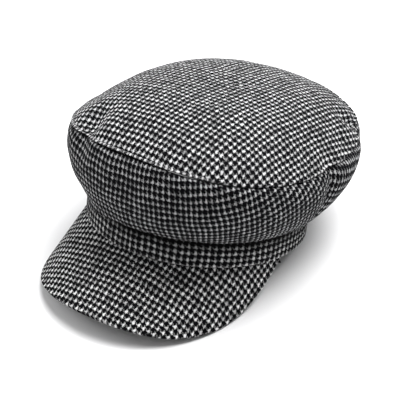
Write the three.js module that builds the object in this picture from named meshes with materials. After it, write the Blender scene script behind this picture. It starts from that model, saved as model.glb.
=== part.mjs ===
// Mariner cap of black and white dogtooth wool, lying on a surface on its peak and the back
// of its band. Sizes in mm. Front is -Y, the wearer's left is +X, up is +Z.
import * as THREE from 'three';

const rad = THREE.MathUtils.degToRad;

// Head band, an oval for a head of about 59 cm
const BAND = { halfWidth: 94.3, halfLength: 100, height: 23.3, wall: 3, sections: 72 };

// The cap leans back until the peak and the back of the band both rest, pressed flat by a little
const LEAN = rad(13.5);
const PRESS = 1.2;

// Cloth of the crown with its lining, and the gap left at each seam between two pieces
const CLOTH = 2.2;
const GAP = 0.3;

// Seam between crown top and crown side: its oval, its height over the lower edge of the band,
// and how that height changes from front to back and between front, back and sides
const SEAM = {
  halfWidth: 110.8, halfLength: 125.4, toLeft: 3.7, toBack: 5.5, squareness: 2.47,
  height: 88.8, frontRise: -5.5, endsRise: 7.3,
};

// Crown side: how far it bulges past the straight line from band to seam
const BULGE = { all: 6.3, front: 1.0, ends: 3.4, left: 5.1, start: 0.45, finish: 0.77, lip: 3.0 };

// Crown top: rise of its middle over the seam, and how quickly the rise dies towards the seam
const DOME = { rise: 33.4, power: 3.53, rings: 10, sections: 72 };

// Soft roll that the cloth makes on both sides of the top seam
const ROLL = { height: 1.6, near: 4, far: 20 };

// Dents and bulges of the crown. Each lies at an angle from the front towards the wearer's left,
// and at a distance in mm above or below the top seam, with its spread both ways and its depth.
const FOLDS = [
  { name: 'pinch at the right front', at: -30, spread: 5, over: 8, reach: 8, depth: 4.4 },
  { name: 'roll beside that pinch', at: -46, spread: 8, over: 11, reach: 10, depth: -2.8 },
  { name: 'gather on the left', at: 66, spread: 5, over: 9, reach: 9, depth: 2.2 },
  { name: 'second gather on the left', at: 82, spread: 6, over: 14, reach: 12, depth: 2.0 },
  { name: 'bulge under the seam on the left', at: 74, spread: 9, over: -12, reach: 10, depth: -2.0 },
  { name: 'fold over the band, right', at: -58, spread: 8, over: -48, reach: 8, depth: 2.4 },
  { name: 'hollow in the front panel', at: 10, spread: 16, over: -20, reach: 16, depth: 1.2 },
  { name: 'hollow in the back panel', at: 176, spread: 18, over: -26, reach: 16, depth: 2.0 },
];

// Upright seams of the crown side, at these angles, with a panel from each to the next
const PANELS = [
  { name: 'side_front', from: -80, to: 92 },
  { name: 'side_back', from: 92, to: 280 },
];
const SEAM_GROOVE = { depth: 1.0, spread: 2.6 };

// Peak: how far it reaches, how steeply it falls, how much lower its ends lie than its middle
const PEAK = {
  reach: 65.9, slope: rad(35.2), endsDrop: 37.0, halfAngle: 83.8, fullness: 3.83,
  splay: 0.17, tuck: 1, thickness: 3.4, endReach: 3, across: 40, along: 8,
};

const WOOL = { color: 0x4c4b4c, roughness: 0.95, metalness: 0 };
const WOOL_TOP = { color: 0x5a595a, roughness: 0.95, metalness: 0 };
const WOOL_BAND = { color: 0x3e3d3e, roughness: 0.95, metalness: 0 };
const WOOL_PEAK = { color: 0x504f50, roughness: 0.92, metalness: 0 };

// Lower edge of the band, seen from above
function bandEdge(phi) {
  return new THREE.Vector3(BAND.halfWidth * Math.sin(phi), -BAND.halfLength * Math.cos(phi), 0);
}

// Horizontal direction that points out of the band
function bandOut(phi) {
  return new THREE.Vector3(
    Math.sin(phi) / BAND.halfWidth, -Math.cos(phi) / BAND.halfLength, 0,
  ).normalize();
}

// Seam between crown top and crown side
function seamPoint(phi) {
  const s = Math.sin(phi);
  const c = Math.cos(phi);
  const n = SEAM.squareness;
  const k = (Math.abs(s) ** n + Math.abs(c) ** n) ** (-1 / n);
  return new THREE.Vector3(
    SEAM.toLeft + SEAM.halfWidth * s * k,
    SEAM.toBack - SEAM.halfLength * c * k,
    SEAM.height + SEAM.frontRise * c + SEAM.endsRise * Math.cos(2 * phi),
  );
}

// Angle between two directions, wrapped to half a turn
function turnBetween(a, b) {
  const d = (a - b) % (2 * Math.PI);
  if (d > Math.PI) return d - 2 * Math.PI;
  if (d < -Math.PI) return d + 2 * Math.PI;
  return d;
}

// How far the cloth stands out of the smooth crown at an angle and a distance over the seam
function relief(phi, over) {
  const away = Math.abs(over);
  let out = ROLL.height * (1 - Math.exp(-away / ROLL.near)) * Math.exp(-away / ROLL.far);
  for (const fold of FOLDS) {
    const a = turnBetween(phi, rad(fold.at)) / rad(fold.spread);
    const b = (over - fold.over) / fold.reach;
    const fade = 1 - Math.exp(-away / ROLL.near);
    out -= fold.depth * fade * Math.exp(-0.5 * (a * a + b * b));
  }
  return out;
}

// Smooth crown side. Height t runs from 0 at the band to 1 at the top seam.
function smoothSide(phi, t) {
  const low = bandEdge(phi);
  const high = seamPoint(phi);
  const spread = 1 - (1 - t) ** 2;
  const size = BULGE.all + BULGE.front * Math.cos(phi)
    + BULGE.ends * Math.cos(2 * phi) + BULGE.left * Math.sin(phi);
  const bulge = 2 * size * t ** BULGE.start * (1 - t) ** BULGE.finish;
  const lip = t < 0.25 ? BULGE.lip * Math.sin(4 * Math.PI * t) : 0;
  return new THREE.Vector3(
    low.x + (high.x - low.x) * spread + bulge * Math.sin(phi),
    low.y + (high.y - low.y) * spread - bulge * Math.cos(phi),
    BAND.height + GAP + (high.z - BAND.height - GAP) * t - lip,
  );
}

// Smooth crown top. Reach r runs from 0 in the middle to 1 at the seam.
function smoothTop(phi, r) {
  const rim = seamPoint(phi);
  const peak = SEAM.height + DOME.rise;
  return new THREE.Vector3(
    SEAM.toLeft + (rim.x - SEAM.toLeft) * r,
    SEAM.toBack + (rim.y - SEAM.toBack) * r,
    peak + (rim.z - peak) * r ** DOME.power,
  );
}

// Outward direction of a surface at (u, v), from its slopes both ways
function slopeNormal(surface, u, v, vLow, vHigh) {
  const h = 1e-3;
  const du = surface(u + h, v).sub(surface(u - h, v));
  const a = Math.max(vLow, v - h);
  const b = Math.min(vHigh, v + h);
  const dv = surface(u, b).sub(surface(u, a));
  return du.cross(dv).normalize();
}

// Crown side with its roll, grooves and folds
function sideSurface(phi, t) {
  const p = smoothSide(phi, t);
  const n = slopeNormal(smoothSide, phi, t, 0.004, 1);
  const over = -(1 - t) * (SEAM.height - BAND.height);
  const fade = Math.min(1, t / 0.12);
  let out = relief(phi, over);
  for (const panel of PANELS) {
    const a = turnBetween(phi, rad(panel.from)) / rad(SEAM_GROOVE.spread);
    out -= SEAM_GROOVE.depth * Math.exp(-0.5 * a * a);
  }
  return p.addScaledVector(n, out * fade * (t < 1 ? 1 : 0));
}

// Crown top with its roll and folds
function topSurface(phi, r) {
  const p = smoothTop(phi, r);
  if (r < 0.02) return p;
  const n = slopeNormal(smoothTop, phi, r, 0.01, 1).negate();
  return p.addScaledVector(n, relief(phi, (1 - r) * SEAM.halfWidth));
}

// Closed body from rows of outer points and matching rows of inner points. A loop closes on
// itself, and a middle, one outer and one inner point, closes the last row of a dome.
function shell(outer, inner, loop, middle = null) {
  const rows = outer.length;
  const cols = outer[0].length;
  const points = [...outer.flat(), ...inner.flat()];
  const faces = [];
  const at = (side, i, j) => side * rows * cols + i * cols + (j % cols);
  const quad = (a, b, c, d) => faces.push(a, b, c, a, c, d);
  const last = loop ? cols : cols - 1;
  const top = rows - 1;
  for (let i = 0; i < top; i += 1) {
    for (let j = 0; j < last; j += 1) {
      quad(at(0, i, j), at(0, i, j + 1), at(0, i + 1, j + 1), at(0, i + 1, j));
      quad(at(1, i, j), at(1, i + 1, j), at(1, i + 1, j + 1), at(1, i, j + 1));
    }
  }
  for (let j = 0; j < last; j += 1) {
    quad(at(0, 0, j), at(1, 0, j), at(1, 0, j + 1), at(0, 0, j + 1));
    if (middle) {
      faces.push(at(0, top, j), at(0, top, j + 1), points.length);
      faces.push(at(1, top, j + 1), at(1, top, j), points.length + 1);
    } else {
      quad(at(0, top, j), at(0, top, j + 1), at(1, top, j + 1), at(1, top, j));
    }
  }
  for (let i = 0; i < top && !loop; i += 1) {
    quad(at(0, i, 0), at(0, i + 1, 0), at(1, i + 1, 0), at(1, i, 0));
    quad(at(0, i, last), at(1, i, last), at(1, i + 1, last), at(0, i + 1, last));
  }
  if (middle) points.push(...middle);
  return { points, faces };
}

// The cap leans back over the back of its lower edge, and what would sink is pressed flat
function lay(p) {
  const c = Math.cos(LEAN);
  const s = Math.sin(LEAN);
  const lift = BAND.halfLength * s - PRESS;
  return new THREE.Vector3(p.x, p.y * c + p.z * s, Math.max(0, p.z * c - p.y * s + lift));
}

function piece(name, body, finish) {
  const geometry = new THREE.BufferGeometry().setFromPoints(body.points.map(lay));
  geometry.setIndex(body.faces);
  geometry.computeVertexNormals();
  const mesh = new THREE.Mesh(geometry, new THREE.MeshStandardMaterial(finish));
  mesh.name = name;
  return mesh;
}

// Where the inner faces of crown top and crown side meet below the seam
function seamInner(phi) {
  const side = slopeNormal(smoothSide, phi, 1, 0.004, 1);
  const top = slopeNormal(smoothTop, phi, 1, 0.01, 1).negate();
  const both = side.clone().add(top);
  return seamPoint(phi).addScaledVector(both, -CLOTH / (1 + side.dot(top)));
}

// One point of the outer and inner face of the crown side
function sidePair(phi, t) {
  const outer = sideSurface(phi, t);
  if (t === 1) {
    const shift = smoothSide(phi, 0.9973).sub(seamPoint(phi));
    return [seamPoint(phi).add(shift), seamInner(phi).add(shift)];
  }
  const n = slopeNormal(smoothSide, phi, t, 0.004, 1);
  return [outer, outer.clone().addScaledVector(n, -CLOTH)];
}

// Crown side panel. It starts on top of the band, turns out over it and rises to the seam.
function sidePanel(panel) {
  const outer = [];
  const inner = [];
  const rows = 11;
  const cols = Math.round((panel.to - panel.from) / 5.2);
  const middle = (BAND.halfWidth + BAND.halfLength) / 2;
  const trim = GAP / 2 / middle;
  for (let i = -1; i <= rows; i += 1) {
    const out = [];
    const inn = [];
    for (let j = 0; j <= cols; j += 1) {
      const phi = THREE.MathUtils.lerp(rad(panel.from) + trim, rad(panel.to) - trim, j / cols);
      if (i < 1) {
        const p = bandEdge(phi).addScaledVector(bandOut(phi), i < 0 ? 0.4 - BAND.wall : 0);
        p.z = BAND.height + GAP;
        out.push(p);
        inn.push(new THREE.Vector3(p.x, p.y, p.z + CLOTH));
      } else {
        const [a, b] = sidePair(phi, (i / rows) ** 1.7);
        out.push(a);
        inn.push(b);
      }
    }
    outer.push(out);
    inner.push(inn);
  }
  return piece(panel.name, shell(outer, inner, false), WOOL);
}

// Crown top: a dome of cloth whose rim stands on the seam
function crownTop() {
  const outer = [];
  const inner = [];
  for (let i = 0; i < DOME.rings; i += 1) {
    const r = 1 - i / DOME.rings;
    const out = [];
    const inn = [];
    for (let j = 0; j < DOME.sections; j += 1) {
      const phi = (2 * Math.PI * j) / DOME.sections;
      if (i === 0) {
        const shift = smoothTop(phi, 0.9985).sub(seamPoint(phi));
        out.push(seamPoint(phi).add(shift));
        inn.push(seamInner(phi).add(shift));
      } else {
        const p = topSurface(phi, r);
        const n = slopeNormal(smoothTop, phi, r, 0.01, 1).negate();
        out.push(p);
        inn.push(p.clone().addScaledVector(n, -CLOTH));
      }
    }
    outer.push(out);
    inner.push(inn);
  }
  const middle = smoothTop(0, 0);
  const under = middle.clone().setZ(middle.z - CLOTH);
  return piece('crown_top', shell(outer, inner, true, [middle, under]), WOOL_TOP);
}

// Band: an upright wall of folded cloth round the head
function band() {
  const outer = [];
  const inner = [];
  for (const z of [0, BAND.height / 2, BAND.height]) {
    const out = [];
    const inn = [];
    for (let j = 0; j < BAND.sections; j += 1) {
      const phi = (2 * Math.PI * j) / BAND.sections;
      const p = bandEdge(phi).setZ(z);
      out.push(p);
      inn.push(p.clone().addScaledVector(bandOut(phi), -BAND.wall));
    }
    outer.push(out);
    inner.push(inn);
  }
  return piece('band', shell(outer, inner, true), WOOL_BAND);
}

// Upper face of the peak. f runs from -1 to 1 between its ends, r from 0 at the band to 1.
function peakSurface(f, r) {
  const phi = rad(PEAK.halfAngle) * f;
  const full = 1 - Math.abs(f) ** PEAK.fullness;
  const reach = PEAK.endReach + (PEAK.reach - PEAK.endReach) * full;
  const p = bandEdge(phi).addScaledVector(bandOut(phi), -PEAK.tuck);
  const turn = PEAK.splay * phi;
  const along = reach * r * Math.cos(PEAK.slope);
  p.x += along * Math.sin(turn);
  p.y -= along * Math.cos(turn);
  p.z = -GAP - reach * r * Math.sin(PEAK.slope) - PEAK.endsDrop * f * f * full * r;
  return p;
}

function peak() {
  const outer = [];
  const inner = [];
  const down = new THREE.Vector3(0, Math.sin(PEAK.slope), -Math.cos(PEAK.slope));
  for (let i = PEAK.along; i >= 0; i -= 1) {
    const out = [];
    const inn = [];
    for (let j = 0; j <= PEAK.across; j += 1) {
      const f = Math.sin((Math.PI / 2) * (2 * j / PEAK.across - 1) * 0.98) / Math.sin(Math.PI * 0.49);
      const p = peakSurface(f, i / PEAK.along);
      out.push(p);
      inn.push(p.clone().addScaledVector(down, PEAK.thickness));
    }
    outer.push(out);
    inner.push(inn);
  }
  return piece('peak', shell(outer, inner, false), WOOL_PEAK);
}

const cap = new THREE.Group();
cap.name = 'mariner_cap';
cap.add(crownTop(), ...PANELS.map(sidePanel), band(), peak());

// The origin is the middle of the underside of the box round the cap
const box = new THREE.Box3().setFromObject(cap);
const middle = box.getCenter(new THREE.Vector3());
for (const mesh of cap.children) {
  mesh.geometry.translate(-middle.x, -middle.y, -box.min.z);
}

export default cap;
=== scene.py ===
import functools
import math

import bmesh
import bpy
from mathutils import Matrix, Vector


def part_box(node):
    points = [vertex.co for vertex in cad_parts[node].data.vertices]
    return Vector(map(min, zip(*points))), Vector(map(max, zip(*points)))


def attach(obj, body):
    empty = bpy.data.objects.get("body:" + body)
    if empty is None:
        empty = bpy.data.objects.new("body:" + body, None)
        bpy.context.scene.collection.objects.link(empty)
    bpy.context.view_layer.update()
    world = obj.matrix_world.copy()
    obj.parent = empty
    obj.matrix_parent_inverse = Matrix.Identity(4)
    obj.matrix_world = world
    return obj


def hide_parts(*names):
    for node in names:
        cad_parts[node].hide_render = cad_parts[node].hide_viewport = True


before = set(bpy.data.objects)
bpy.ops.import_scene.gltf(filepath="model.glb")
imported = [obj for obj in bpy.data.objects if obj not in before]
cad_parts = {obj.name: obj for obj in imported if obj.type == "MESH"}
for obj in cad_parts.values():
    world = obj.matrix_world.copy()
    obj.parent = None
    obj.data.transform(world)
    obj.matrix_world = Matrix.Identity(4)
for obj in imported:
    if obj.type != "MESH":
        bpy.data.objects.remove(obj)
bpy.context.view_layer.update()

# Crown top. One domed panel of soft brushed wool, sewn to the side wall along an oval seam that
# stands up as a narrow bead at the front. The cloth rolls up beside the seam, dents at the
# wearer's right front where the cap was pinched, and gathers on the left.

# All sizes are in metres with the cap upright, its front at -Y and the wearer's left at +X
SEAM_HALF_WIDTH = 0.1108
SEAM_HALF_LENGTH = 0.1254
SEAM_TO_LEFT = 0.0037
SEAM_TO_BACK = 0.0055
SEAM_SQUARENESS = 2.47
SEAM_HEIGHT = 0.0888
SEAM_FRONT_RISE = -0.0055
SEAM_ENDS_RISE = 0.0073
SEAM_TURN_IN = 0.0015
SEAM_STEPS = 720
DOME_RISE = 0.0334
DOME_POWER = 3.53
CLOTH = 0.0022

# The cap leans back over the back of its band until the peak's two front corners touch the
# surface too. The band's lower edge is pressed a little flat there.
BAND_HALF_WIDTH = 0.0943
BAND_HALF_LENGTH = 0.1
BAND_HEIGHT = 0.0233
LEAN = math.radians(13.5)
PRESS = 0.0012

lean_sin = math.sin(LEAN)
lean_cos = math.cos(LEAN)
band_low, band_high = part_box("band")
band_back = BAND_HALF_LENGTH * lean_cos + BAND_HEIGHT * lean_sin
band_place = Vector(((band_low[0] + band_high[0]) / 2, band_high[1] - band_back, 0))


def lay(p):
    y = p.y * lean_cos + p.z * lean_sin
    z = p.z * lean_cos - p.y * lean_sin + BAND_HALF_LENGTH * lean_sin - PRESS
    return Vector((p.x, y, max(0.0, z))) + band_place


# Angles run from the front to the wearer's left
def outwards(phi, up=0.0):
    return Vector((math.sin(phi), -math.cos(phi), up))


def turn_between(a, b):
    return (a - b + math.pi) % (2 * math.pi) - math.pi


# How many spreads an angle lies from another, the last two in degrees
def spreads_off(phi, at, spread):
    return turn_between(phi, math.radians(at)) / math.radians(spread)


def bell(x, y=0.0):
    return math.exp(-0.5 * (x * x + y * y))


# Unevenness of sewn cloth: its depth, waves round the cap, waves along the cloth, and a number
# that tells one kind from another
PUCKERS = (0.00045, 46, 160, 3)
SLACK = (0.0005, 5, 60, 5)
SEAM_WANDER = (0.00035, 30, 1, 7)
PUCKER_REACH = 0.010


# Four waves whose lengths never fit into each other, the same in every run
def uneven(kind, phi, along):
    depth, waves_round, waves_along, number = kind
    total = 0.0
    for k in range(4):
        finer = 1.0 + 0.83 * k
        a = phi * waves_round * finer + number * 1.7 + k * 2.1
        b = along * waves_along * finer * 1.3 + number * 0.9 + k
        total += math.sin(a) * math.sin(b)
    return depth * total / 4


# Each fold: its angle and spread in degrees, its distance over the seam and reach, and its depth
FOLDS = (
    # The pinch at the wearer's right front, with the rolls that it pushes up
    (-29, 3.5, 0.006, 0.006, 0.0066),
    (-34, 3.5, 0.015, 0.008, 0.0044),
    (-44, 6, 0.011, 0.009, -0.0012),
    (-62, 12, 0.016, 0.016, 0.0030),
    (-18, 8, 0.012, 0.010, -0.0014),
    (-26, 4, -0.008, 0.007, 0.0026),
    # Gathers on the wearer's left, on both sides of the upright seam there
    (66, 5, 0.009, 0.009, 0.0022),
    (82, 6, 0.014, 0.012, 0.002),
    (76, 8, -0.012, 0.010, -0.002),
    (91, 3, -0.014, 0.014, 0.0024),
    (103, 7, -0.012, 0.012, -0.0034),
    (97, 3, 0.008, 0.006, 0.0016),
    (108, 3, 0.007, 0.006, 0.0020),
    (119, 4, 0.007, 0.007, -0.0014),
    (127, 3, 0.007, 0.008, 0.0046),
    (137, 4, 0.010, 0.009, -0.0004),
    (146, 3, 0.008, 0.007, 0.0016),
    # Slack in the side wall at the right, the front and the back
    (-58, 8, -0.048, 0.008, 0.0024),
    (10, 16, -0.020, 0.016, 0.0012),
    (176, 18, -0.026, 0.016, 0.002),
)
ROLL_HEIGHT = 0.0016
ROLL_NEAR = 0.004
ROLL_FAR = 0.020

# Where the seam itself is pulled in or pushed out: angle and spread in degrees, and distance
PINCHES = (
    (-27, 3.5, -0.0036),
    (-44, 5, -0.0006),
    (-58, 9, -0.0022),
    (116, 4, 0.0006),
    (128, 3.2, -0.0050),
    (91, 2.5, -0.0022),
)
PINCH_REACH = 0.011


def seam_point(phi):
    s, c = math.sin(phi), math.cos(phi)
    k = (abs(s) ** SEAM_SQUARENESS + abs(c) ** SEAM_SQUARENESS) ** (-1 / SEAM_SQUARENESS)
    return Vector((
        SEAM_TO_LEFT + SEAM_HALF_WIDTH * s * k,
        SEAM_TO_BACK - SEAM_HALF_LENGTH * c * k,
        SEAM_HEIGHT + SEAM_FRONT_RISE * c + SEAM_ENDS_RISE * math.cos(2 * phi),
    ))


# How far the cloth stands out beside the seam, over being the distance over it
def relief(phi, over):
    away = abs(over)
    fade = 1 - math.exp(-away / ROLL_NEAR)
    out = ROLL_HEIGHT * fade * math.exp(-away / ROLL_FAR)
    for at, spread, height, reach, depth in FOLDS:
        out -= depth * fade * bell(spreads_off(phi, at, spread), (over - height) / reach)
    out += math.exp(-away / PUCKER_REACH) * fade * uneven(PUCKERS, phi, over)
    return out + uneven(SLACK, phi, over)


def pinch(phi, over):
    out = uneven(SEAM_WANDER, phi, 1)
    for at, spread, distance in PINCHES:
        out += distance * bell(spreads_off(phi, at, spread))
    return outwards(phi) * out * math.exp(-abs(over) / PINCH_REACH)


def smooth_top(phi, r):
    rim = seam_point(phi)
    crest = SEAM_HEIGHT + DOME_RISE
    return Vector((
        SEAM_TO_LEFT + (rim.x - SEAM_TO_LEFT) * r,
        SEAM_TO_BACK + (rim.y - SEAM_TO_BACK) * r,
        crest + (rim.z - crest) * r ** DOME_POWER,
    ))


def slope_normal(surface, a, b, low, high):
    h = 1e-3
    da = surface(a + h, b) - surface(a - h, b)
    db = surface(a, min(high, b + h)) - surface(a, max(low, b - h))
    return da.cross(db).normalized()


# Lengths along a line of points, and the length at a spot between two of them
def lengths_along(points):
    lengths = [0.0]
    for last, here in zip(points, points[1:]):
        lengths.append(lengths[-1] + (here - last).length)
    return lengths


def length_at(lengths, spot):
    k = min(int(spot), len(lengths) - 2)
    return lengths[k] + (lengths[k + 1] - lengths[k]) * (spot - k)


# Dogtooth wool. Eight threads make one repeat both ways, about three of them light, woven two
# over and two under, so the light checks get their corner points. The yarn is hairy: its edges
# wander, checks differ in shade, and a pale fuzz shows where the cloth turns away.
THREADS = 8
TWILL = 4
TWILL_OVER = 1.5
DARK_YARN = (0.001, 0.001, 0.0014)
DARK_YARN_HAIRS = 2.6
LIGHT_YARN_CORE = 0.72
SPOT_EDGE = 0.15
SPOT_FALL = 0.85
FUZZ_ON_DARK = 0.02
FUZZ_SPREAD = 0.3
FUZZ_COLOUR = (0.9, 0.9, 0.92, 1)
SHINE = 0.03
BUMP_STRENGTH = 0.4
BUMP_HEIGHT = 0.0005
YARN_BUMP = 0.6
HAIR_BUMP = 0.7

# Slow waves in the weave and the fine wander of each yarn: fineness, detail, roughness, reach
SLOW_DRIFT = (38.0, 1.0, 0.5, 0.0045)
YARN_WANDER = (620.0, 2.0, 0.6, 0.0021)

# Single hairs, thin and thick patches of them, and wear: fineness, detail, roughness
HAIRS = (2100.0, 3.0, 0.7)
HAIR_PATCHES = (230.0, 3.0, 0.7)
WORN_PLACES = (16.0, 2.0, 0.5)

# Lowest and highest value of the checks' shades, the patches of pale hair, the painted shade between
# yarns, the wear over the whole cap and the roughness
CHECK_SHADES = (0.5, 1.2)
PATCHES = (-0.48, 2.52)
YARN_GAP_SHADE = (0.62, 1.02)
WEAR = (0.85, 1.15)
ROUGHNESS = (0.8, 0.95)


# crease_shade is the height of a crease across the cloth, and the reach and strength of the painted
# shade that darkens the colour towards it
def dogtooth(name, repeat, light_yarn, lit_threads, fuzz, crease_shade=None):
    wool = bpy.data.materials.new(name)
    wool.use_nodes = True
    nodes, links = wool.node_tree.nodes, wool.node_tree.links
    nodes.clear()
    place = nodes.new("ShaderNodeTexCoord")

    def feed(socket, value):
        if isinstance(value, bpy.types.NodeSocket):
            links.new(value, socket)
        else:
            socket.default_value = value

    def maths(operation, *values):
        n = nodes.new("ShaderNodeMath")
        n.operation = operation
        for i, value in enumerate(values):
            feed(n.inputs[i], value)
        return n.outputs[0]

    def vector_maths(operation, a, b, socket=1):
        n = nodes.new("ShaderNodeVectorMath")
        n.operation = operation
        feed(n.inputs[0], a)
        feed(n.inputs[socket], b)
        return n.outputs[0]

    def noise(fineness, detail, rough):
        n = nodes.new("ShaderNodeTexNoise")
        links.new(place.outputs["Object"], n.inputs["Vector"])
        n.inputs["Scale"].default_value = fineness
        n.inputs["Detail"].default_value = detail
        n.inputs["Roughness"].default_value = rough
        return n

    def blend(kind, share, a, b):
        n = nodes.new("ShaderNodeMix")
        n.data_type = kind
        feed(n.inputs["Factor"], share)
        feed(n.inputs["A"], a)
        feed(n.inputs["B"], b)
        return n.outputs["Result"]

    def between(value, lowest_and_highest):
        lowest, highest = lowest_and_highest
        return maths("MULTIPLY_ADD", value, highest - lowest, lowest)

    def shade(colour, brightness):
        return tuple(brightness * c for c in colour) + (1,)

    # The cloth is never quite straight
    cloth = nodes.new("ShaderNodeUVMap")
    cloth.uv_map = "cloth"
    spot_on_cloth = cloth.outputs[0]
    for fineness, detail, rough, reach in (SLOW_DRIFT, YARN_WANDER):
        push = vector_maths("SUBTRACT", noise(fineness, detail, rough).outputs["Color"], (0.5,) * 3)
        push = vector_maths("SCALE", push, reach, "Scale")
        spot_on_cloth = vector_maths("ADD", spot_on_cloth, push)
    split = nodes.new("ShaderNodeSeparateXYZ")
    links.new(spot_on_cloth, split.inputs[0])

    # Each way across the cloth: the thread, whether it is a light one, how round it is, how near
    # the middle of a light check, and the check's number
    threads, lit, rounds, spots, checks = [], [], [], [], []
    for i in range(2):
        way = maths("MULTIPLY", split.outputs[i], THREADS / repeat[i])
        threads.append(maths("FLOOR", way))
        lit.append(maths("LESS_THAN", maths("FLOORED_MODULO", way, THREADS), lit_threads))
        rounds.append(maths("ABSOLUTE", maths("SINE", maths("MULTIPLY", way, math.pi))))
        off_middle = maths("MULTIPLY", maths("SUBTRACT", way, lit_threads / 2), 2 * math.pi / THREADS)
        spots.append(maths("POWER", between(maths("COSINE", off_middle), (0.5, 1.0)), SPOT_FALL))
        checks.append(maths("FLOOR", maths("DIVIDE", way, THREADS)))
    over = maths("FLOORED_MODULO", maths("ADD", *threads), TWILL)
    over = maths("LESS_THAN", over, TWILL_OVER)
    is_light = blend("FLOAT", over, lit[1], lit[0])
    yarn = blend("FLOAT", over, rounds[1], rounds[0])

    # Each light check is a soft spot, because its hairs thin out towards the dark yarn, and no
    # two checks are equally bright
    check = nodes.new("ShaderNodeCombineXYZ")
    feed(check.inputs[0], checks[0])
    feed(check.inputs[1], checks[1])
    check_shade = nodes.new("ShaderNodeTexWhiteNoise")
    links.new(check.outputs[0], check_shade.inputs["Vector"])
    spot = maths("ADD", maths("MULTIPLY", *spots), SPOT_EDGE)
    spot = maths("MULTIPLY", spot, between(check_shade.outputs["Value"], CHECK_SHADES))
    patches = between(noise(*HAIR_PATCHES).outputs[0], PATCHES)
    lightness = maths("MULTIPLY", is_light, maths("MAXIMUM", patches, 0.0))
    lightness = maths("MINIMUM", maths("MULTIPLY", lightness, spot), 1.0)

    hairs = noise(*HAIRS).outputs[0]
    dark = blend("RGBA", hairs, shade(DARK_YARN, 1), shade(DARK_YARN, DARK_YARN_HAIRS))
    light = blend("RGBA", hairs, shade(light_yarn, LIGHT_YARN_CORE), shade(light_yarn, 1))
    # Painted shade between the yarns, times the random wear of the cloth
    depth = maths("MULTIPLY", between(yarn, YARN_GAP_SHADE),
                  between(noise(*WORN_PLACES).outputs[0], WEAR))
    if crease_shade:
        # Painted shade: the colour darkens towards the crease, where the cloth above overhangs it
        height, reach, strength = crease_shade
        gap = maths("DIVIDE", maths("SUBTRACT", height, split.outputs[1]), reach)
        near = maths("POWER", math.e, maths("MULTIPLY", maths("MULTIPLY", gap, gap), -1.0))
        depth = maths("MULTIPLY", depth, between(near, (1.0, 1.0 - strength)))
    colour = vector_maths("SCALE", blend("RGBA", lightness, dark, light), depth, "Scale")

    bump = nodes.new("ShaderNodeBump")
    bump.inputs["Strength"].default_value = BUMP_STRENGTH
    bump.inputs["Distance"].default_value = BUMP_HEIGHT
    hair_height = maths("MULTIPLY", hairs, HAIR_BUMP)
    feed(bump.inputs["Height"], maths("MULTIPLY_ADD", yarn, YARN_BUMP, hair_height))

    shader = nodes.new("ShaderNodeBsdfPrincipled")
    feed(shader.inputs["Base Color"], colour)
    feed(shader.inputs["Roughness"], between(hairs, ROUGHNESS))
    feed(shader.inputs["Normal"], bump.outputs[0])
    feed(shader.inputs["Sheen Weight"], maths("MULTIPLY_ADD", lightness, fuzz, FUZZ_ON_DARK * fuzz))
    shader.inputs["Sheen Roughness"].default_value = FUZZ_SPREAD
    shader.inputs["Sheen Tint"].default_value = FUZZ_COLOUR
    shader.inputs["Specular IOR Level"].default_value = SHINE
    out = nodes.new("ShaderNodeOutputMaterial")
    links.new(shader.outputs[0], out.inputs[0])
    return wool


# A sheet of cloth from a flat grid. surface(a, b), for a and b from 0 to 1, gives a point of the
# outer face and its place on the flat cloth in metres. The thickness goes inwards.
def cloth_piece(name, across, along, surface, thickness, wool, closed=False):
    bm = bmesh.new()
    bmesh.ops.create_grid(bm, x_segments=across, y_segments=along, size=0.5)
    uv_layer = bm.loops.layers.uv.new("cloth")
    flat = {}
    for v in bm.verts:
        place, flat[v] = surface(v.co.x + 0.5, v.co.y + 0.5)
        v.co = lay(place)
    for face in bm.faces:
        for corner in face.loops:
            corner[uv_layer].uv = flat[corner.vert]
    if closed:
        bmesh.ops.remove_doubles(bm, verts=bm.verts, dist=1e-6)
    bmesh.ops.recalc_face_normals(bm, faces=bm.faces)
    centre = sum((v.co for v in bm.verts), Vector()) / len(bm.verts)
    outward = sum(f.normal.dot(f.calc_center_median() - centre) for f in bm.faces)
    if outward < 0:
        bmesh.ops.reverse_faces(bm, faces=bm.faces)
    mesh = bpy.data.meshes.new(name)
    bm.to_mesh(mesh)
    bm.free()
    mesh.polygons.foreach_set("use_smooth", [True] * len(mesh.polygons))
    mesh.materials.append(wool)
    piece = bpy.data.objects.new(name, mesh)
    bpy.context.scene.collection.objects.link(piece)
    wall = piece.modifiers.new("thickness", "SOLIDIFY")
    wall.thickness = thickness
    wall.offset = -1
    wall.use_even_offset = False
    wall.use_rim = True
    return piece


# The flat cloth of the top is laid on from the middle outwards. On the bead at the front it runs
# along the seam instead, with a line of light checks on its back and the dark yarn in its fold.
TOP_REPEAT = (0.0048, 0.0058)
TOP_STEPS = 64
TOP_EDGE = 0.9985
TOP_CROWDING = 1.6
TOP_CALM = 0.02
TOP_FIRST = 0.01
BEAD_WIDTH = 0.0021
BEAD_RISE = 0.0013
BEAD_START = -1.4
BEAD_END = math.radians(34)
BEAD_FOLD = 0.0005
BEAD_LIGHT = TOP_REPEAT[1] * 0.25
BEAD_DARK = TOP_REPEAT[1] * 0.75
BEAD_SQUEEZE = 0.8
BEAD_TURN_DOWN = 0.3

seam_lengths = lengths_along([seam_point(k / SEAM_STEPS * 2 * math.pi) for k in range(SEAM_STEPS + 1)])


@functools.lru_cache(None)
def dome_lengths(phi):
    return lengths_along([smooth_top(phi, k / TOP_STEPS) for k in range(TOP_STEPS + 1)])


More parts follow.
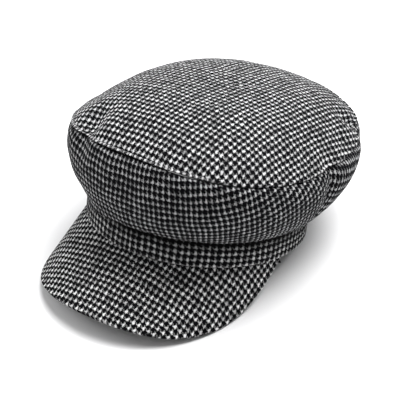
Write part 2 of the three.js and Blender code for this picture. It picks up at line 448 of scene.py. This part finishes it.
def top_surface(a, b):
    phi = a * 2 * math.pi
    r = TOP_EDGE * (1 - b ** TOP_CROWDING)
    over = (1 - r) * SEAM_HALF_WIDTH
    p = smooth_top(phi, max(r, 0.0))
    if r > TOP_CALM:
        n = -slope_normal(smooth_top, phi, r, TOP_FIRST, 1)
        bead = max(0.0, 1 - (2 * over / BEAD_WIDTH - 1) ** 2)
        p += n * (relief(phi, over) + BEAD_RISE * math.sqrt(bead)) + pinch(phi, over)
    if b == 0:
        p -= outwards(phi, BEAD_TURN_DOWN) * SEAM_TURN_IN
    if over < BEAD_WIDTH and BEAD_START < turn_between(phi, 0) < BEAD_END:
        along = seam_lengths[round(a * SEAM_STEPS)]
        if over < BEAD_FOLD:
            return p, (along, BEAD_DARK)
        return p, (along, BEAD_LIGHT + (over - BEAD_WIDTH / 2) * BEAD_SQUEEZE)
    length = length_at(dome_lengths(phi), max(r, 0.0) * TOP_STEPS)
    rim = seam_point(phi)
    heading = math.atan2(rim.y - SEAM_TO_BACK, rim.x - SEAM_TO_LEFT)
    return p, (length * math.cos(heading), length * math.sin(heading))


top_wool = dogtooth("wool_top", TOP_REPEAT, (0.72, 0.72, 0.73), 3.1, 0.55)
crown_top = cloth_piece("crown_top_cloth", 288, 84, top_surface, CLOTH, top_wool, closed=True)
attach(crown_top, "root")
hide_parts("crown_top")

# Crown side. A front and a back panel of the same wool, joined by two upright seams that sink
# into the cloth. The wall starts on the band, turns out over it and rises to the top's seam.
# Each panel is cut as a fan, so its weave leans away from upright on both sides of its middle.
PANELS = (
    ("side_front", -80, 92),
    ("side_back", 92, 280),
)
SIDE_RADIUS = 0.108
SEAM_GAP = 0.0003
BULGE_ALL = 0.0063
BULGE_FRONT = 0.001
BULGE_ENDS = 0.0034
BULGE_LEFT = 0.0051
BULGE_START = 0.45
BULGE_FINISH = 0.77
GROOVE_DEPTH = 0.001
GROOVE_SPREAD = 1.6
GROOVE_ROLL = 0.0006

# The wall hangs over the band as a lip round the front, from its angle to both sides
LIP = 0.003
LIP_SHARE = 0.25
LIP_AT = -0.17
LIP_REACH = 0.40
LIP_FADE = 0.2

# Where the wall sags over the band or is drawn in: angle and spread in degrees, height up the
# wall and reach as shares of it, and how far out
SAGS = (
    (-24, 9, 0.06, 0.035, 0.0036),
    (-56, 17, 0.10, 0.10, -0.0060),
)
FOOT_WAVES = (0.0009, 17, 9, 8)
FOOT_SHARE = 0.16
FOOT_FADE = 0.06

# Rows of the grid: the first ones turn in at the foot, the last one under the top's seam, and
# those between crowd towards the foot
TURNED_ROWS = 0.03
TURNED_IN = 0.0026
WALL_ROWS = 0.958
WALL_CROWDING = 1.7
WALL_END = 0.9973
WALL_FIRST = 0.004
WALL_STEPS = 48

# The fan of each panel: its radius, its middle in degrees, and how much finer its weave is round
# the wall and up it. The wall is measured some way up, where it is longer than at its foot.
FAN_RADIUS = 0.370
FAN_MIDDLE = {"side_front": -12, "side_back": 118}
FAN_SCALE = {"side_front": (1.0, 1.0), "side_back": (1.2, 0.86)}
FAN_MEASURED_AT = 0.6
FAN_LONGER = 1.133


def band_edge(phi, height=0.0, out=0.0):
    s, c = math.sin(phi), math.cos(phi)
    n = Vector((s / BAND_HALF_WIDTH, -c / BAND_HALF_LENGTH, 0)).normalized()
    return Vector((BAND_HALF_WIDTH * s, -BAND_HALF_LENGTH * c, height)) + n * out


def smooth_side(phi, t):
    low = band_edge(phi)
    high = seam_point(phi)
    spread = 1 - (1 - t) ** 2
    size = BULGE_ALL + BULGE_FRONT * math.cos(phi) + BULGE_ENDS * math.cos(2 * phi)
    size += BULGE_LEFT * math.sin(phi)
    bulge = 2 * size * t ** BULGE_START * (1 - t) ** BULGE_FINISH
    past_lip = (abs(turn_between(phi, LIP_AT)) - LIP_REACH) / LIP_FADE
    lip = LIP * (0.5 - 0.5 * math.tanh(past_lip)) * math.sin(math.pi * min(1.0, t / LIP_SHARE))
    base = BAND_HEIGHT + SEAM_GAP
    return Vector((
        low.x + (high.x - low.x) * spread + bulge * math.sin(phi),
        low.y + (high.y - low.y) * spread - bulge * math.cos(phi),
        base + (high.z - base) * t - lip,
    ))


# Lengths round the wall at every half degree, from 180 degrees before the front to 360 after it
round_lengths = lengths_along([
    smooth_side(math.radians(k / 2), FAN_MEASURED_AT) / FAN_LONGER for k in range(-360, 721)
])


@functools.lru_cache(None)
def wall_lengths(phi):
    return lengths_along([
        smooth_side(phi, (k / WALL_STEPS) ** WALL_CROWDING) for k in range(WALL_STEPS + 1)
    ])


def length_round(degrees):
    return length_at(round_lengths, degrees * 2 + 360)


def on_fan(phi, up, node):
    turn = (length_round(math.degrees(phi)) - length_round(FAN_MIDDLE[node])) / FAN_RADIUS
    x = (FAN_RADIUS + up) * math.sin(turn)
    y = (FAN_RADIUS + up) * math.cos(turn) - FAN_RADIUS
    return (x * FAN_SCALE[node][0], y * FAN_SCALE[node][1])


def side_surface(start, end, node):
    def at(a, b):
        trim = SEAM_GAP / 2 / SIDE_RADIUS
        width = math.radians(end - start) - 2 * trim
        phi = math.radians(start) + trim + width * a
        if b < TURNED_ROWS:
            inward = -TURNED_IN * (1 - b / TURNED_ROWS)
            return band_edge(phi, BAND_HEIGHT + SEAM_GAP, inward), on_fan(phi, inward, node)
        t = WALL_END * min(1.0, (b - TURNED_ROWS) / WALL_ROWS) ** WALL_CROWDING
        over = -(1 - t) * (SEAM_HEIGHT - BAND_HEIGHT)
        out = relief(phi, over)
        for edge in (start, end):
            x = spreads_off(phi, edge, GROOVE_SPREAD)
            out -= GROOVE_DEPTH * bell(x)
            out += GROOVE_ROLL * math.exp(-abs(x) / 3) * (1 - math.exp(-abs(x)))
        out += math.exp(-((t / FOOT_SHARE) ** 2)) * uneven(FOOT_WAVES, phi, t)
        for at_turn, spread, height, reach, amount in SAGS:
            out += amount * bell(spreads_off(phi, at_turn, spread), (t - height) / reach)
        n = slope_normal(smooth_side, phi, max(t, WALL_FIRST), WALL_FIRST, 1)
        p = smooth_side(phi, t) + n * out * min(1.0, t / FOOT_FADE) + pinch(phi, over)
        if b == 1:
            p -= outwards(phi) * SEAM_TURN_IN
        up = length_at(wall_lengths(phi), WALL_STEPS * t ** (1 / WALL_CROWDING))
        return p, on_fan(phi, up, node)
    return at


# The side's pale yarn is painted darker than the top's: painted shade for a wall that faces away from
# the light above
side_wool = dogtooth("wool_side", (0.0045, 0.0057), (0.54, 0.54, 0.55), 2.7, 0.12)
for node, start, end in PANELS:
    panel = cloth_piece(node + "_cloth", (end - start) * 2, 72, side_surface(start, end, node),
                        CLOTH, side_wool)
    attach(panel, "root")
    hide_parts(node)

# Band. Folded wool round the head, standing upright, with soft edges top and bottom and the
# weave running round it. Its colour is painted darker towards the crease under the wall, as painted
# shade.
BAND_WALL = 0.003
BAND_EDGE_ROUND = 0.0009
BAND_EDGE_SOFTNESS = 0.6
BAND_RADIUS = 0.097
BAND_WAVES = (0.0004, 9, 3, 11)
# Painted shade under the wall's overhang: its height, reach and strength
CREASE_SHADE = (BAND_HEIGHT, 0.0085, 0.93)


def band_surface(a, b):
    phi = a * 2 * math.pi
    height = BAND_HEIGHT * b
    into_edge = max(0.0, BAND_EDGE_ROUND - min(height, BAND_HEIGHT - height))
    inset = BAND_EDGE_ROUND - math.sqrt(BAND_EDGE_ROUND ** 2 - into_edge ** 2)
    wave = uneven(BAND_WAVES, phi, b) * math.sin(math.pi * b)
    p = band_edge(phi, height, wave - inset * BAND_EDGE_SOFTNESS)
    return p, (phi * BAND_RADIUS, height)


band_wool = dogtooth("wool_band", (0.0057, 0.0055), (0.72, 0.72, 0.72), 2.9, 0.05, CREASE_SHADE)
band = cloth_piece("band_cloth", 288, 28, band_surface, BAND_WALL, band_wool, closed=True)
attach(band, "root")
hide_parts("band")

# Peak. A stiff board between two layers of the same wool, sewn under the band. It is bent like a
# piece of pipe that slopes forward, so its cloth lies flat on it with the weave straight ahead.
PEAK_REACH = 0.0659
PEAK_END_REACH = 0.003
PEAK_SLOPE = math.radians(35.2)
PEAK_ENDS_DROP = 0.037
PEAK_HALF_ANGLE = math.radians(83.8)
PEAK_FULLNESS = 3.83
PEAK_SPLAY = 0.17
PEAK_TUCK = 0.001
PEAK_THICKNESS = 0.0034
PEAK_COLUMNS = 160
PEAK_CROWDING = 0.98


def peak_point(a, b):
    quarter = math.pi / 2 * PEAK_CROWDING
    f = math.sin(quarter * (2 * a - 1)) / math.sin(quarter)
    phi = PEAK_HALF_ANGLE * f
    full = 1 - abs(f) ** PEAK_FULLNESS
    reach = PEAK_END_REACH + (PEAK_REACH - PEAK_END_REACH) * full
    p = band_edge(phi, 0.0, -PEAK_TUCK)
    p += outwards(PEAK_SPLAY * phi) * reach * b * math.cos(PEAK_SLOPE)
    p.z = -SEAM_GAP - reach * b * math.sin(PEAK_SLOPE) - PEAK_ENDS_DROP * f * f * full * b
    return p


def down_slope(p):
    return p.y * math.cos(PEAK_SLOPE) + p.z * math.sin(PEAK_SLOPE)


def off_slope(p):
    return p.z * math.cos(PEAK_SLOPE) - p.y * math.sin(PEAK_SLOPE)


@functools.lru_cache(None)
def arch_lengths(b):
    row = [peak_point(k / PEAK_COLUMNS, b) for k in range(PEAK_COLUMNS + 1)]
    return lengths_along([Vector((p.x, off_slope(p))) for p in row])


def peak_surface(a, b):
    lengths = arch_lengths(b)
    across = lengths[round(a * PEAK_COLUMNS)] - lengths[PEAK_COLUMNS // 2]
    p = peak_point(a, b)
    return p, (across, down_slope(p))


# The peak's pale yarn is painted lighter than the top's: painted light for a slope that faces away
# from the light behind
peak_wool = dogtooth("wool_peak", (0.0049, 0.0054), (0.95, 0.95, 0.95), 3.0, 0.08)
peak = cloth_piece("peak_cloth", PEAK_COLUMNS, 60, peak_surface, PEAK_THICKNESS, peak_wool)
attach(peak, "root")
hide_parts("peak")

# Surface. A wide sheet of matt white paper that the cap rests on.
PAPER_HALF_SIZE = 3.0
PAPER_WHITE = (0.84, 0.84, 0.845, 1)
PAPER_ROUGHNESS = 0.9
PAPER_SHINE = 0.1

bm = bmesh.new()
bmesh.ops.create_grid(bm, x_segments=1, y_segments=1, size=PAPER_HALF_SIZE)
floor_mesh = bpy.data.meshes.new("floor")
bm.to_mesh(floor_mesh)
bm.free()
floor = bpy.data.objects.new("floor", floor_mesh)
bpy.context.scene.collection.objects.link(floor)
paper = bpy.data.materials.new("white_paper")
paper.use_nodes = True
paper_shader = paper.node_tree.nodes["Principled BSDF"]
paper_shader.inputs["Base Color"].default_value = PAPER_WHITE
paper_shader.inputs["Roughness"].default_value = PAPER_ROUGHNESS
paper_shader.inputs["Specular IOR Level"].default_value = PAPER_SHINE
floor.data.materials.append(paper)

# Light. A wide soft light above and behind the cap, a weak one from its right, and an even white
# glow all round.
GLOW = 0.4
LIT_POINT = Vector((0, 0, 0.05))

world = bpy.data.worlds.new("studio")
bpy.context.scene.world = world
world.use_nodes = True
world.node_tree.nodes["Background"].inputs["Color"].default_value = (1, 1, 1, 1)
world.node_tree.nodes["Background"].inputs["Strength"].default_value = GLOW
bpy.context.scene.view_settings.view_transform = "Standard"


def soft_light(name, place, size, power):
    light = bpy.data.lights.new(name, "AREA")
    light.shape = "SQUARE"
    light.size = size
    light.energy = power
    lamp = bpy.data.objects.new(name, light)
    lamp.location = place
    lamp.rotation_euler = (LIT_POINT - Vector(place)).to_track_quat("-Z", "Y").to_euler()
    bpy.context.scene.collection.objects.link(lamp)


soft_light("top_soft", (0.2, 0.45, 1.4), size=1.3, power=49)
soft_light("right_soft", (-1.15, -0.35, 0.55), size=0.8, power=8)

# Camera. It looks down at the wearer's left front from 1.3 m away.
CAMERA_AZIMUTH = math.radians(35.61)
CAMERA_ELEVATION = math.radians(35.29)
CAMERA_ROLL = math.radians(-0.72)
CAMERA_DISTANCE = 1.3
CAMERA_LENS = 137.8
CAMERA_AIM = Vector((0.006, -0.0091, 0.0517))

toward = outwards(CAMERA_AZIMUTH) * math.cos(CAMERA_ELEVATION)
toward.z = math.sin(CAMERA_ELEVATION)
level = Vector((math.cos(CAMERA_AZIMUTH), math.sin(CAMERA_AZIMUTH), 0))
rise = toward.cross(level)
camera_right = level * math.cos(CAMERA_ROLL) + rise * math.sin(CAMERA_ROLL)
camera_up = rise * math.cos(CAMERA_ROLL) - level * math.sin(CAMERA_ROLL)
camera_data = bpy.data.cameras.new("camera")
camera_data.lens = CAMERA_LENS
camera_data.sensor_width = 36
camera = bpy.data.objects.new("camera", camera_data)
turn = Matrix((camera_right, camera_up, toward)).transposed().to_4x4()
camera.matrix_world = Matrix.Translation(CAMERA_AIM + toward * CAMERA_DISTANCE) @ turn
bpy.context.scene.collection.objects.link(camera)
bpy.context.scene.camera = camera
